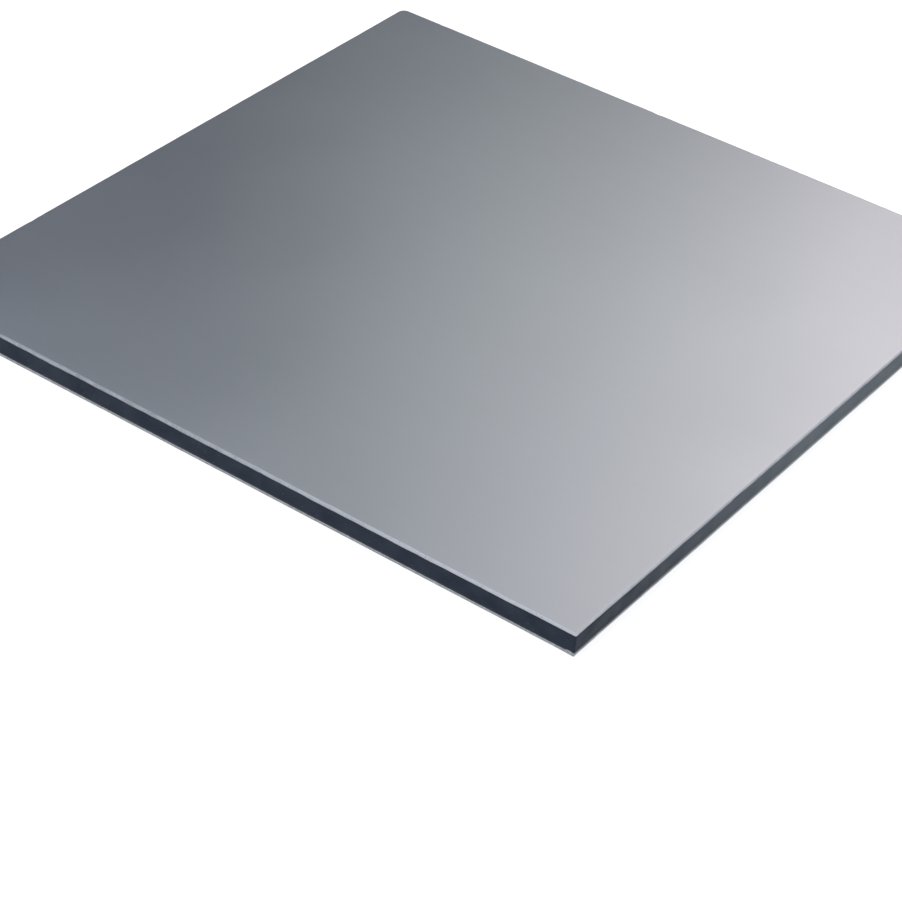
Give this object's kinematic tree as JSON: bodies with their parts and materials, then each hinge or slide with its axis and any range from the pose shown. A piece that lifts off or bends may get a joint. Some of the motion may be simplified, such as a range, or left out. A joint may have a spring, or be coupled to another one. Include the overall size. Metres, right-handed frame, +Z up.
{
  "type": "aluminium composite panel",
  "caption": "Flat composite sheet with a dark plastic core bonded between thin aluminium skins and a satin metallic silver face, for cladding, fascias and signs.",
  "frame": {"origin": "middle of the underside, on the surface that the panel lies on", "axes": "+Z up through the thickness, out of the coated face; +X and +Y along the cut edges; the blunt corner is at -X +Y"},
  "size_m": [0.12, 0.12, 0.004],
  "materials": {
    "silver_coat": "satin",
    "core_plastic": "matte",
    "mill_aluminium": "satin"
  },
  "bodies": {
    "root": {"face_skin": "silver_coat", "core": "core_plastic", "back_skin": "mill_aluminium"}
  },
  "joints": []
}
